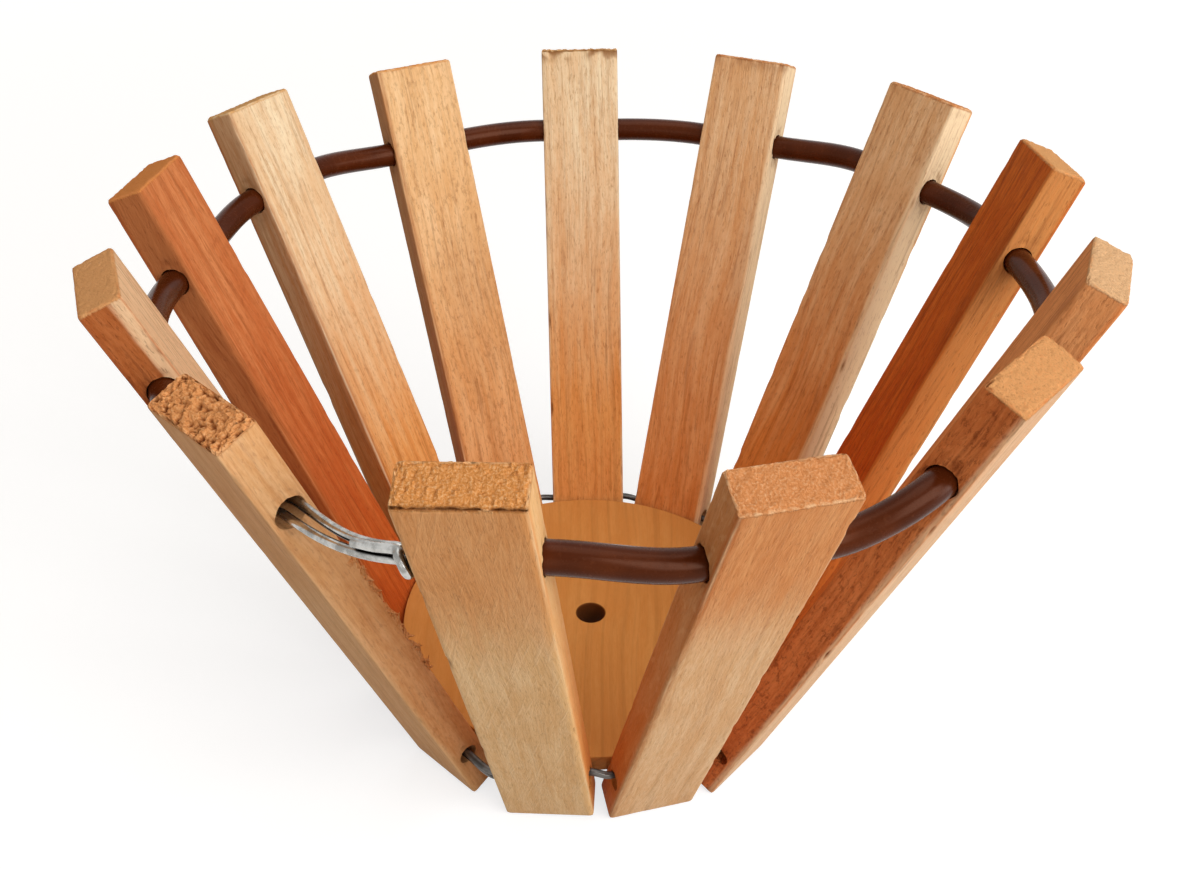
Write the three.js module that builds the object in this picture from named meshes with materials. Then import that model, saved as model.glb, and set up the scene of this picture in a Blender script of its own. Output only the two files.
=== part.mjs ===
// A cachepot of hardwood slats that lean outwards round a wooden base.
// A hose threaded through the slats spaces them at the rim, and two wires hold them together.
// Millimetres, +Z up. The origin is on the floor, on the pot's axis.

import * as THREE from "three";

const { degToRad } = THREE.MathUtils;

// Slats
const slatWidth = 25;
const slatThickness = 10.4;
const slatLength = 173;
const lengthJump = 1; // the slats' lengths differ by multiples of this
const slatLean = degToRad(21.7);
const footGap = 0.6; // between neighbours, at the inner edges of their feet
const closingGap = degToRad(32); // from slat to slat, where the wires are closed
const closingAngle = degToRad(244); // where that gap lies, counter-clockwise from +X

// Base
const baseThickness = 10;
const baseTop = 21.4;
const baseEdge = 0.6; // sanded edges
const seatClearance = 0.3; // between the base and the slats that lean on it
const drainDiameter = 8.8;

// Hose
const hoseDiameter = 7.2;
const hoseBore = 4.6;
const hoseClearance = 0.35; // all round, in the slats' holes
const rimHoleDrop = 26; // from a slat's top end down to its rim hole
const hoseInset = 12; // from the closing gap to the hose's first end, inside the first slat
const hoseEndInset = 6; // the same in the last slat

// Wires
const wireDiameter = 2.1;
const wireClearance = 0.3; // to the side of a hole or bore that the wire is pulled against
const footHoleDiameter = 6;
const footHoleHeight = 18;
const tailLength = 9; // of a wire's end, tucked into a slat's hole
const strandGap = 1.6; // between the rim wire's two strands, in the first slat's hole
const strandAside = 1.2; // from the middle of the last slat's hole to the strand that leaves it
const hookGap = 0.6; // between the strand that is hooked and the hook
const hookDepth = 2.5; // of the hook's bow, along the strand
const hookTail = 10; // of the hook's free end
const hookRest = 105; // degrees round the strand, from its outer side, to where the free end rests on it
const hookLead = -180; // the same to where the hook's lead to the first slat leaves it

// Woods, by tone
const woods = {
  straw: 0xcfa26c,
  fawn: 0xc29463,
  honey: 0xc58a50,
  amber: 0xb9743f,
  russet: 0x9f5a35,
  umber: 0x8a4d30,
};

// Each slat, clockwise from the closing gap seen from above. They are sawn and strung by hand: extra is
// how many jumps a slat is longer than the plain length, sway is how many degrees it leans sideways, away
// from the next slat, and twist is how many degrees it sits turned about its own length.
const slats = [
  { wood: "fawn", extra: -8, sway: 1, twist: 0 },
  { wood: "russet", extra: -2, sway: 1.5, twist: 1 },
  { wood: "amber", extra: -3, sway: 0, twist: -1 },
  { wood: "straw", extra: 0, sway: 2, twist: 5 },
  { wood: "honey", extra: -2, sway: 1.5, twist: 0 },
  { wood: "straw", extra: -1, sway: 1.5, twist: 0 },
  { wood: "honey", extra: 0, sway: 1, twist: -1 },
  { wood: "fawn", extra: 3, sway: -0.5, twist: 1 },
  { wood: "russet", extra: 3, sway: 1, twist: -6 },
  { wood: "umber", extra: 4, sway: -1.5, twist: -3 },
  { wood: "russet", extra: 4, sway: -0.5, twist: 4 },
  { wood: "honey", extra: -5, sway: 0.5, twist: -1 },
  { wood: "fawn", extra: -3, sway: -0.5, twist: 7 },
];

// Facets
const rimHoleSides = 20;
const footHoleSides = 14;
const baseSides = 4 * slats.length;
const hoseSides = 12;
const wireSides = 8;
const rimBendSteps = 6; // along the hose and its wire, from slat to slat
const footBendSteps = 3;
const closingSteps = 10; // across the closing gap
const hookSteps = 30;
const hookPoints = 10; // that its bow is drawn through
const mouthSteps = 2; // from a hole into the hose
const gapSamples = 6; // to each step of a wire, where its gaps are measured

// Sizes that follow from those above
const slatPitch = (2 * Math.PI - closingGap) / (slats.length - 1);
const innerFootRadius = (slatWidth + footGap) / 2 / Math.tan(slatPitch / 2);
const footRadius = innerFootRadius + (slatThickness / 2) * Math.cos(slatLean);
const footRise = (slatThickness / 2) * Math.sin(slatLean); // of a foot's middle over its outer edge
const rimHoleDiameter = hoseDiameter + 2 * hoseClearance;

const pot = new THREE.Group();

function addPiece(name, geometry, material, parent = pot) {
  const mesh = new THREE.Mesh(geometry, material);
  mesh.name = name;
  parent.add(mesh);
  return mesh;
}

// Distance from the axis to the middle of a slat, at a height over the floor.
function slatRadius(height) {
  return footRadius + (height - footRise) * Math.tan(slatLean);
}

// Distance from the axis to the inner faces of the slats, at a height over the floor.
function innerRadius(height) {
  return slatRadius(height) - slatThickness / 2 / Math.cos(slatLean);
}

// A slat stands on its foot along its own +Z. Its width is along Y and +X faces out of the pot.
function slatGeometry(length, holes) {
  const side = new THREE.Shape();
  side.moveTo(-slatThickness / 2, 0);
  side.lineTo(slatThickness / 2, 0);
  side.lineTo(slatThickness / 2, length);
  side.lineTo(-slatThickness / 2, length);
  side.closePath();
  side.holes.push(roundHole(holes.foot, footHoleDiameter, footHoleSides));
  side.holes.push(roundHole(holes.rim, rimHoleDiameter, rimHoleSides));
  const geometry = new THREE.ExtrudeGeometry(side, { depth: slatWidth, bevelEnabled: false });
  return geometry.rotateX(Math.PI / 2).translate(0, slatWidth / 2, 0);
}

function roundHole(height, diameter, sides) {
  const points = [];
  for (let i = 0; i < sides; i++) {
    const turn = (i / sides) * 2 * Math.PI;
    points.push(new THREE.Vector2(Math.cos(turn), Math.sin(turn)).multiplyScalar(diameter / 2));
  }
  return new THREE.Path(points.map((point) => point.add(new THREE.Vector2(0, height))));
}

function addSlat({ wood, extra, sway, twist }, index) {
  const place = new THREE.Group();
  place.rotation.z = closingAngle - closingGap / 2 - index * slatPitch;
  const lean = new THREE.Group();
  lean.position.x = footRadius;
  lean.rotation.y = slatLean;
  place.add(lean);
  pot.add(place);
  const name = "slat_" + String(index + 1).padStart(2, "0");
  const material = new THREE.MeshStandardMaterial({ color: woods[wood], roughness: 0.75, metalness: 0 });
  const length = slatLength + extra * lengthJump;
  const holes = { rim: length - rimHoleDrop, foot: footHoleHeight };
  const slat = addPiece(name, slatGeometry(length, holes), material, lean);
  slat.userData = holes;
  slat.rotation.set(-degToRad(sway), 0, degToRad(twist), "ZYX");
  seatSlat(slat, lean, place);
  return slat;
}

// Stands a slat on the lowest corner of its foot, then moves it until its inner face leans on the base.
function seatSlat(slat, lean, place) {
  pot.updateMatrixWorld(true);
  lean.position.z -= new THREE.Box3().setFromObject(slat, true).min.z;
  pot.updateMatrixWorld(true);
  const facing = new THREE.Vector3(1, 0, 0).transformDirection(slat.matrixWorld);
  const radial = new THREE.Vector3(1, 0, 0).transformDirection(place.matrixWorld);
  const face = slat.localToWorld(new THREE.Vector3(-slatThickness / 2, 0, 0));
  const level = Math.hypot(facing.x, facing.y);
  const reach = (facing.dot(face) - facing.z * baseTop) / level; // from the axis to the face, at the base
  lean.position.x += ((innerRadius(baseTop) - reach) * level) / facing.dot(radial);
  pot.updateMatrixWorld(true);
}

const strung = slats.map(addSlat);
const firstSlat = strung[0];
const lastSlat = strung[strung.length - 1];

// The base is a round plug, bevelled to the slats' lean, with its drain hole in the middle.
function baseGeometry() {
  const bottom = baseTop - baseThickness;
  const rim = (height) => innerRadius(height) - seatClearance;
  const drain = drainDiameter / 2;
  const profile = [
    new THREE.Vector2(drain + baseEdge, bottom),
    new THREE.Vector2(rim(bottom) - baseEdge, bottom),
    new THREE.Vector2(rim(bottom + baseEdge), bottom + baseEdge),
    new THREE.Vector2(rim(baseTop - baseEdge), baseTop - baseEdge),
    new THREE.Vector2(rim(baseTop) - baseEdge, baseTop),
    new THREE.Vector2(drain + baseEdge, baseTop),
    new THREE.Vector2(drain, baseTop - baseEdge),
    new THREE.Vector2(drain, bottom + baseEdge),
  ];
  profile.push(profile[0].clone());
  return new THREE.LatheGeometry(profile, baseSides).rotateX(Math.PI / 2);
}

const baseWood = new THREE.MeshStandardMaterial({ color: 0xb8743c, roughness: 0.6, metalness: 0 });
addPiece("base_disc", baseGeometry(), baseWood);

// A route is a row of curves, each with its own number of steps, so that tight bends get short ones.
class Route extends THREE.Curve {
  constructor() {
    super();
    this.runs = [];
    this.steps = 0;
  }

  add(curve, steps) {
    this.runs.push({ curve, steps });
    this.steps += steps;
    return this;
  }

  getPoint(t, target = new THREE.Vector3()) {
    let step = t * this.steps;
    for (const run of this.runs) {
      if (step <= run.steps) return run.curve.getPoint(step / run.steps, target);
      step -= run.steps;
    }
    return this.runs[this.runs.length - 1].curve.getPoint(1, target);
  }

  // Steps are taken along the runs as given, not at even lengths.
  getUtoTmapping(u) {
    return u;
  }
}

// A place in a slat's rim or foot hole: out is towards the slat's outer face, across runs along the hole
// from the slat's middle, counter-clockwise round the pot, and up is along the slat.
function holePoint(slat, hole, out, across, up = 0) {
  return slat.localToWorld(new THREE.Vector3(out, across, slat.userData[hole] + up));
}

// The way a strand goes through a slat, on its way clockwise round the pot.
function holeDirection(slat) {
  return new THREE.Vector3(0, -1, 0).transformDirection(slat.matrixWorld);
}

// A gentle bend from one place and direction to another.
function bend(from, leaving, to, arriving) {
  const reach = from.distanceTo(to) / 3;
  const first = from.clone().addScaledVector(leaving, reach);
  const second = to.clone().addScaledVector(arriving, -reach);
  return new THREE.CubicBezierCurve3(from, first, second, to);
}

// Runs a strand clockwise from a place in the first slat to one in the last: straight through each hole,
// where it keeps to one side, and bent from slat to slat.
function thread(route, hole, out, steps, start, end) {
  let entry = start;
  strung.forEach((slat, index) => {
    const exit = slat === lastSlat ? end : holePoint(slat, hole, out, -slatWidth / 2);
    route.add(new THREE.LineCurve3(entry, exit), 1);
    if (slat === lastSlat) return;
    const next = strung[index + 1];
    entry = holePoint(next, hole, out, slatWidth / 2);
    route.add(bend(exit, holeDirection(slat), entry, holeDirection(next)), steps);
  });
}

function tubeGeometry(route, diameter, sides, bore = 0) {
  const ring = (size) => roundHole(0, size, sides).getPoints();
  const section = new THREE.Shape(ring(diameter));
  if (bore > 0) section.holes.push(new THREE.Path(ring(bore)));
  return new THREE.ExtrudeGeometry(section, { steps: route.steps, extrudePath: route });
}

// The hose goes once round the rim and stops short of the closing gap, inside the slats beside it.
const hoseRoute = new Route();
const hoseStart = slatWidth / 2 - hoseInset;
const hoseEnd = hoseEndInset - slatWidth / 2;
thread(
  hoseRoute,
  "rim",
  0,
  rimBendSteps,
  holePoint(firstSlat, "rim", 0, hoseStart),
  holePoint(lastSlat, "rim", 0, hoseEnd),
);
const plastic = new THREE.MeshStandardMaterial({ color: 0x4a2a20, roughness: 0.3, metalness: 0 });
addPiece("rim_hose", tubeGeometry(hoseRoute, hoseDiameter, hoseSides, hoseBore), plastic);

// How far from its middle a wire lies in a round hole that it is pulled to the side of.
function pulledAside(diameter) {
  return diameter / 2 - wireDiameter / 2 - wireClearance;
}

// The hook at the start of the rim wire: a free end that rests on the strand that comes out of the last
// slat, then a bow round and under that strand, and a lead along its inner side.
function hookCurve(strand) {
  const radius = wireDiameter + hookGap;
  const start = wireDiameter / 2 + wireClearance;
  const middle = holePoint(lastSlat, "rim", 0, 0);
  const beside = (degrees, away) => {
    const turn = degToRad(degrees);
    const around = holePoint(lastSlat, "rim", radius * Math.cos(turn), 0, radius * Math.sin(turn));
    return strand.getPointAt((start + away) / strand.getLength()).add(around.sub(middle));
  };
  const points = [beside(hookRest, hookDepth + hookTail), beside(hookRest, hookDepth + hookTail / 2)];
  for (let i = 0; i <= hookPoints; i++) {
    const share = i / hookPoints;
    points.push(beside(hookRest + share * (hookLead - hookRest), hookDepth * (2 * share - 1) ** 2));
  }
  points.push(beside(hookLead, hookDepth + radius));
  return new THREE.CatmullRomCurve3(points);
}

// From its hook the rim wire crosses the closing gap into the first slat and runs inside the hose. It
// comes out of the last slat through the hook, crosses the gap and ends in the first slat's hole.
function rimWireRoute() {
  const route = new Route();
  const face = slatWidth / 2;
  const onward = holeDirection(firstSlat);
  const leaving = holeDirection(lastSlat);
  const aside = pulledAside(rimHoleDiameter);
  const inBore = pulledAside(hoseBore);
  const beyond = wireDiameter + strandGap - aside;
  const exit = holePoint(lastSlat, "rim", strandAside, -face);
  const tail = holePoint(firstSlat, "rim", beyond, face);
  const strand = bend(exit, leaving, tail, onward);
  const hook = hookCurve(strand);
  route.add(hook, hookSteps);
  const entry = holePoint(firstSlat, "rim", -aside, face);
  route.add(bend(hook.getPoint(1), hook.getTangent(1), entry, onward), closingSteps);
  const mouth = holePoint(firstSlat, "rim", -inBore, hoseStart);
  route.add(bend(entry, onward, mouth, onward), mouthSteps);
  const end = holePoint(lastSlat, "rim", -inBore, hoseEnd);
  thread(route, "rim", -inBore, rimBendSteps, mouth, end);
  route.add(bend(end, leaving, exit, leaving), mouthSteps);
  route.add(strand, closingSteps);
  const stop = holePoint(firstSlat, "rim", aside, face - tailLength);
  return route.add(bend(tail, onward, stop, onward), mouthSteps);
}

// The foot wire's ends pass each other in the closing gap, one over the other, and each is tucked into
// the slat beyond.
function footWireRoute() {
  const route = new Route();
  const face = slatWidth / 2;
  const onward = holeDirection(firstSlat);
  const leaving = holeDirection(lastSlat);
  const aside = pulledAside(footHoleDiameter);
  const inFirst = (across, up) => holePoint(firstSlat, "foot", 0, across, up);
  const inLast = (across, up) => holePoint(lastSlat, "foot", 0, across, up);
  route.add(new THREE.LineCurve3(inLast(tailLength - face, aside), inLast(-face, aside)), 1);
  route.add(bend(inLast(-face, aside), leaving, inFirst(face, aside), onward), footBendSteps);
  thread(route, "foot", -aside, footBendSteps, inFirst(face, aside), inLast(-face, -aside));
  route.add(bend(inLast(-face, -aside), leaving, inFirst(face, -aside), onward), footBendSteps);
  return route.add(new THREE.LineCurve3(inFirst(face, -aside), inFirst(face - tailLength, -aside)), 1);
}

// The least gap between a wire's strands, measured on points along its route.
function leastGap(route) {
  const points = route.getPoints(gapSamples * route.steps);
  const along = [0];
  points.slice(1).forEach((point, index) => along.push(along[index] + point.distanceTo(points[index])));
  const apart = Math.PI * wireDiameter; // strands this far apart along the wire can touch
  let least = Infinity;
  points.forEach((point, i) => {
    for (let j = i + 1; j < points.length; j++) {
      if (along[j] - along[i] > apart) least = Math.min(least, point.distanceTo(points[j]));
    }
  });
  return least - wireDiameter;
}

const steel = new THREE.MeshStandardMaterial({ color: 0xb4b3b0, roughness: 0.35, metalness: 1 });
for (const [name, route] of [["rim_wire", rimWireRoute()], ["foot_wire", footWireRoute()]]) {
  addPiece(name, tubeGeometry(route, wireDiameter, wireSides), steel.clone());
  console.log(name + ": least gap to itself " + leastGap(route).toFixed(2) + " mm");
}

export default pot;
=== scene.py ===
"""A cachepot of sawn hardwood slats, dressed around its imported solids.

The solids give every place and size. This script adds what they lack: chipped edges and fibrous
ends on the slats, their grain, a sanded base, a glossy hose and bright wires, and then a plain
studio with the photograph's camera.
"""

import logging
import math
import random
from dataclasses import dataclass, field
from enum import Enum
from typing import Any

import bmesh
import bpy
from mathutils import Matrix, Vector, noise


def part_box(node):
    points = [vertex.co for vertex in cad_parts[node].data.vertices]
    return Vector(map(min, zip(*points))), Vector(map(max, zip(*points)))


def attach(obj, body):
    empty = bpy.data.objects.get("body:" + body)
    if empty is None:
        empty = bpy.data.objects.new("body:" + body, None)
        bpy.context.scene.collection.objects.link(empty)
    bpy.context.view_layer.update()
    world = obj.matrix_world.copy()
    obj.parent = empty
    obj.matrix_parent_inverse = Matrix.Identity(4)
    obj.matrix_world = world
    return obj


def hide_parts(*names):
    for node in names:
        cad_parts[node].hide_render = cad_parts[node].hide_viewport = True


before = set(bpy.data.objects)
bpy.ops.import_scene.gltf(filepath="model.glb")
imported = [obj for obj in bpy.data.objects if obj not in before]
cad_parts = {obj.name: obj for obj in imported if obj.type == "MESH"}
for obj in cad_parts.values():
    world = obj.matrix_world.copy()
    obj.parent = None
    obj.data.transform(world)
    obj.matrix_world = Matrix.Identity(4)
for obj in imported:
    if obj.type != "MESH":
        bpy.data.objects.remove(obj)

LOG = logging.getLogger("cachepot")
MM = 0.001
TINY = 1e-6  # metres: closer points are one
ALIKE = 1e-4  # of a unit block's side: closer heights are one
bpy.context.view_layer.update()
GRAIN = "grain"  # the attribute that says where in a slat's wood a point lies, in millimetres
MARKS = "marks"  # the attribute that says how far a point is end grain, worn with a painted edge highlight, and torn or stained, with painted shade in deep chips, pits and hole mouths
GRAIN_STRIDE = (61.0, 83.0, 217.0)  # from one slat's part of the grain to the next, in millimetres

Color = tuple[float, float, float, float]
Socket = bpy.types.NodeSocket


def linear(code: str) -> Color:
    """Turns a colour as it is seen into the linear one that nodes take.

    Args:
        code: Six hexadecimal digits.

    Returns:
        Linear red, green and blue, and an alpha of one.
    """
    seen = [int(code[i : i + 2], 16) / 255 for i in (0, 2, 4)]
    even = [c / 12.92 if c <= 0.04045 else ((c + 0.055) / 1.055) ** 2.4 for c in seen]
    return (even[0], even[1], even[2], 1.0)


def clamp(value: float) -> float:
    """Keeps a value from 0 to 1."""
    return min(1.0, max(0.0, value))


@dataclass(frozen=True)
class Cloud:
    """A cloudy pattern.

    Attributes:
        scale: How many clouds there are to a unit of length, along each axis.
        detail: How many finer layers lie on the first.
        roughness: How strong the finer layers are.
    """

    scale: tuple[float, float, float]
    detail: float = 2.0
    roughness: float = 0.5


class Graph:
    """Writes nodes into one tree."""

    def __init__(self, tree: bpy.types.NodeTree) -> None:
        """Keeps the tree that the nodes go into."""
        self.tree = tree

    def add(self, kind: str, inputs: dict[Any, Any] | None = None, **settings: Any) -> bpy.types.Node:
        """Adds a node.

        Args:
            kind: The node's type.
            inputs: Sockets to link, or plain values, by the name or place of the input.
            **settings: The node's own settings.

        Returns:
            The new node.
        """
        node = self.tree.nodes.new(kind)
        for name, value in settings.items():
            setattr(node, name, value)
        for key, value in (inputs or {}).items():
            if isinstance(value, Socket):
                self.tree.links.new(value, node.inputs[key])
            else:
                node.inputs[key].default_value = value
        return node

    def math(self, operation: str, *values: Any) -> Socket:
        """Adds a Math node and gives its result."""
        return self.add("ShaderNodeMath", dict(enumerate(values)), operation=operation).outputs[0]

    def times(self, first: Any, second: Any) -> Socket:
        """Multiplies two values."""
        return self.math("MULTIPLY", first, second)

    def scaled(self, value: Any, factor: Any, base: Any) -> Socket:
        """Multiplies a value by a factor and adds a base."""
        return self.math("MULTIPLY_ADD", value, factor, base)

    def rest(self, share: Any) -> Socket:
        """Gives what a share leaves of 1."""
        return self.math("SUBTRACT", 1.0, share)

    def vector(self, operation: str, *values: Any) -> Socket:
        """Adds a Vector Math node and gives its result, a number for a length or a dot product."""
        node = self.add("ShaderNodeVectorMath", dict(enumerate(values)), operation=operation)
        return node.outputs["Value" if operation in ("LENGTH", "DOT_PRODUCT") else "Vector"]

    def place(self) -> Socket:
        """Gives a point's place in its object, in metres."""
        return self.add("ShaderNodeTexCoord").outputs["Object"]

    def cloud(self, spot: Socket, cloud: Cloud) -> Socket:
        """Gives a cloudy pattern at a place, about 0.3 to 0.7."""
        spot = self.vector("MULTIPLY", spot, cloud.scale)
        values = {"Vector": spot, "Scale": 1.0, "Detail": cloud.detail, "Roughness": cloud.roughness}
        return self.add("ShaderNodeTexNoise", values).outputs[0]

    def step(self, value: Socket, low: Any, high: Any) -> Socket:
        """Gives a soft step from 0 at low to 1 at high."""
        values = {"Value": value, "From Min": low, "From Max": high}
        return self.add("ShaderNodeMapRange", values, interpolation_type="SMOOTHSTEP").outputs[0]

    def mix(self, share: Any, first: Any, second: Any, blend: str = "MIX") -> Socket:
        """Mixes two colours."""
        values = {0: share, 6: first, 7: second}
        return self.add("ShaderNodeMix", values, data_type="RGBA", blend_type=blend).outputs[2]

    def tint(self, color: Socket, paint: Any, mask: Socket, share: Any, blend: str = "MIX") -> Socket:
        """Paints over a colour where a mask is 1, up to a share of it."""
        return self.mix(self.times(mask, share), color, paint, blend)

    def dress(self, color: Socket, rough: Socket, height: Socket, relief: float, depth: float) -> Any:
        """Links a surface's looks to the material's shader.

        Args:
            color: Its colour.
            rough: Its roughness.
            height: The height of its relief.
            relief: How strongly the relief shows.
            depth: How deep the relief is, in metres.

        Returns:
            The shader's inputs, for its plain values.
        """
        bump = self.add("ShaderNodeBump", {"Strength": relief, "Distance": depth, "Height": height})
        inputs = self.tree.nodes["Principled BSDF"].inputs
        looks = {"Base Color": color, "Roughness": rough, "Normal": bump.outputs["Normal"]}
        for name, socket in looks.items():
            self.tree.links.new(socket, inputs[name])
        return inputs


def new_material(name: str) -> tuple[bpy.types.Material, Graph]:
    """Starts a material, and gives it with its graph."""
    material = bpy.data.materials.new(name)
    material.use_nodes = True
    return material, Graph(material.node_tree)


def new_group(name: str, inputs: dict[str, tuple], outputs: dict[str, tuple]) -> Graph:
    """Starts a shader node group.

    Args:
        name: The group's name.
        inputs: The names of the sockets that it takes, by kind of socket.
        outputs: The names of the sockets that it gives, by kind of socket.

    Returns:
        The group's graph, still without nodes.
    """
    tree = bpy.data.node_groups.new(name, "ShaderNodeTree")
    for direction, kinds in (("INPUT", inputs), ("OUTPUT", outputs)):
        for kind, names in kinds.items():
            for socket in names:
                tree.interface.new_socket(socket, in_out=direction, socket_type="NodeSocket" + kind)
    return Graph(tree)


class SawnGrain:
    """The grain of sawn wood, as a node group that every wooden piece uses.

    It reads a place in the wood in millimetres with the grain along Z, so its fibres show as streaks
    on the long faces and as pores on the ends.
    """

    NAME = "sawn_grain"
    INPUTS = {
        "Vector": ("Place", "Shift", "Marks", "Second Side", "Heart"),
        "Color": ("Pale", "Tone", "Dark", "End", "Second"),
        "Float": (
            "Second Edge", "Second Warmth", "Figure", "Lines", "Pores", "Scratches", "Scales", "Crumble",
            "Warmth",
        ),
    }
    OUTPUTS = {"Color": ("Color",), "Float": ("Roughness", "Height")}
    NO_EDGE = 99.0  # a second tone that begins here lies outside any piece

    BEND = Cloud((0.035, 0.035, 0.012), 1.0)
    STREAKS = Cloud((0.4, 0.4, 0.022), 4.0, 0.55)
    FIBRES = Cloud((2.0, 2.0, 0.25), 3.0, 0.6)
    FLECKS = Cloud((1.9, 1.9, 0.42), 2.0, 0.55)
    LINES = Cloud((0.9, 0.9, 0.03), 3.0, 0.6)
    TONES = Cloud((0.08, 0.08, 0.04))
    SCALES = Cloud((0.9, 0.9, 0.4), 5.0, 0.7)
    CRUMBS = Cloud((1.9, 1.9, 0.9), 4.0, 0.62)
    SAW_LINES = Cloud((0.4, 0.8, 0.05), 4.0, 0.6)
    SAW_SLANT = math.radians(16)
    TORN_SHADE = (0.6, 0.5, 0.4, 1.0)
    # Painted shade: RIM_PAINTED_SHADE browns the outside of a slat towards its rim, and
    # FOOT_PAINTED_SHADE darkens and warms the inside towards its foot, as shade and warm bounce light
    # fall there.
    RIM_PAINTED_SHADE = (0.86, 0.5, 0.26, 1.0)
    FOOT_PAINTED_SHADE = (1.0, 0.6, 0.29, 1.0)
    RELIEF_DEPTH = 0.5 * MM
    GLOSS = 0.1

    @classmethod
    def build(cls) -> bpy.types.NodeTree:
        """Builds the group.

        Returns:
            The group's tree.
        """
        graph = new_group(cls.NAME, cls.INPUTS, cls.OUTPUTS)
        given = graph.add("NodeGroupInput").outputs
        end_mark, worn_and_highlight_mark, torn_and_shaded_mark = graph.add("ShaderNodeSeparateXYZ", {0: given["Marks"]}).outputs
        grain = graph.vector("ADD", given["Place"], given["Shift"])
        spot = cls.warped(graph, grain)
        streaks = graph.cloud(spot, cls.STREAKS)
        fibres = graph.cloud(spot, cls.FIBRES)
        pores = graph.times(graph.step(graph.cloud(spot, cls.FLECKS), 0.57, 0.7), given["Pores"])
        scratches = graph.times(cls.scratches(graph, grain), given["Scratches"])
        other = cls.second(graph, given, streaks)
        scales = graph.cloud(spot, cls.SCALES)
        scaly = graph.times(given["Scales"], graph.rest(other))

        light = graph.step(graph.scaled(fibres, 0.6, graph.times(streaks, 0.8)), 0.45, 0.95)
        color = graph.mix(light, given["Tone"], given["Pale"])
        color = cls.figured(graph, given, spot, color)
        # The second tone: sapwood, and on some slats painted light and shade on one side face.
        second = graph.tint(given["Second"], given["Pale"], light, 0.3)
        color = graph.tint(color, second, other, 0.8)
        lines = graph.step(graph.cloud(spot, cls.LINES), 0.5, 0.72)
        color = graph.tint(color, given["Dark"], lines, given["Lines"])
        color = graph.tint(color, given["Dark"], pores, 0.45)
        color = graph.mix(scratches, color, given["Pale"])
        raised = graph.times(graph.step(scales, 0.53, 0.68), scaly)
        color = graph.tint(color, given["Pale"], raised, 0.7)
        sunk = graph.times(graph.step(scales, 0.48, 0.36), scaly)
        color = graph.tint(color, given["Dark"], sunk, 0.75)
        # Painted shade by height, inside and outside the pot.
        color = cls.paint_height_shade(graph, given, streaks, other, color)

        crumbs = graph.cloud(grain, cls.CRUMBS)
        end = graph.scaled(graph.math("SUBTRACT", crumbs, 0.5), 0.8, end_mark)
        end = graph.step(end, 0.35, 0.75)
        color = graph.mix(end, color, cls.fibrous(graph, given, crumbs))
        # Wear on the rounded edges, with a painted highlight there.
        worn = graph.times(graph.step(worn_and_highlight_mark, 0.35, 1.0), graph.step(streaks, 0.4, 0.6))
        color = graph.tint(color, given["Pale"], worn, 0.6)
        # Torn fibres and saw stain, and painted shade where chips, pits and hole mouths are deep.
        torn = graph.step(torn_and_shaded_mark, 0.1, 1.0)
        color = graph.tint(color, given["Dark"], torn, 0.8)
        color = graph.mix(torn, color, cls.TORN_SHADE, "MULTIPLY")

        rough = graph.scaled(end, 0.2, graph.scaled(streaks, 0.25, 0.55))
        height = graph.scaled(fibres, 0.8, graph.times(streaks, 0.3))
        height = graph.scaled(pores, -0.6, height)
        height = graph.scaled(scratches, 0.8, height)
        height = graph.scaled(graph.times(scales, scaly), 2.5, height)
        crumbs = graph.times(crumbs, graph.math("ADD", given["Crumble"], 0.2))
        height = graph.scaled(graph.times(crumbs, end), 3.0, height)
        graph.add("NodeGroupOutput", {"Color": color, "Roughness": rough, "Height": height})
        return graph.tree

    @classmethod
    def warped(cls, graph: Graph, grain: Socket) -> Socket:
        """Bends the grain a little, as a tree grows."""
        cloud = graph.cloud(grain, cls.BEND).node.outputs["Color"]
        shift = graph.vector("SUBTRACT", cloud, (0.5, 0.5, 0.5))
        return graph.vector("ADD", grain, graph.vector("MULTIPLY", shift, (9, 9, 0)))

    @classmethod
    def figured(cls, graph: Graph, given: Any, spot: Socket, color: Socket) -> Socket:
        """Darkens the late wood of the growth rings round the tree's heart, and clouds the tone.

        Args:
            graph: The group's graph.
            given: The group's inputs.
            spot: The place in the bent grain.
            color: The wood's colour so far.

        Returns:
            The colour with its figure.
        """
        flat = graph.vector("MULTIPLY", graph.vector("ADD", spot, given["Heart"]), (1, 1, 0))
        values = {"W": graph.times(graph.vector("LENGTH", flat), 0.45), "Scale": 1.0, "Detail": 2.0}
        rings = graph.add("ShaderNodeTexNoise", values, noise_dimensions="1D").outputs[0]
        color = graph.tint(color, given["Dark"], graph.step(rings, 0.48, 0.75), given["Figure"])
        clouds = graph.step(graph.cloud(spot, cls.TONES), 0.45, 0.7)
        return graph.tint(color, given["Tone"], clouds, 0.6)

    @classmethod
    def paint_height_shade(cls, graph: Graph, given: Any, streaks: Socket, other: Socket, color: Socket) -> Socket:
        """Paints shade by height: a warm painted shade on the wood inside the pot towards a slat's foot,
        and a browner painted shade outside towards the rim.

        Args:
            graph: The group's graph.
            given: The group's inputs.
            streaks: The long streaks in the wood.
            other: Where the second tone lies.
            color: The wood's colour so far.

        Returns:
            The colour with its painted shade.
        """
        spot = graph.add("ShaderNodeSeparateXYZ", {0: given["Place"]}).outputs
        height = graph.scaled(graph.math("SUBTRACT", streaks, 0.5), 50.0, spot[2])
        inside = graph.step(spot[0], 4.9, 3.0)
        # Painted shade towards the rim, on the outside of the slat.
        high = graph.times(graph.step(height, 100.0, 145.0), graph.rest(inside))
        color = graph.tint(color, cls.RIM_PAINTED_SHADE, graph.times(high, 0.72), given["Warmth"], "MULTIPLY")
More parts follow.
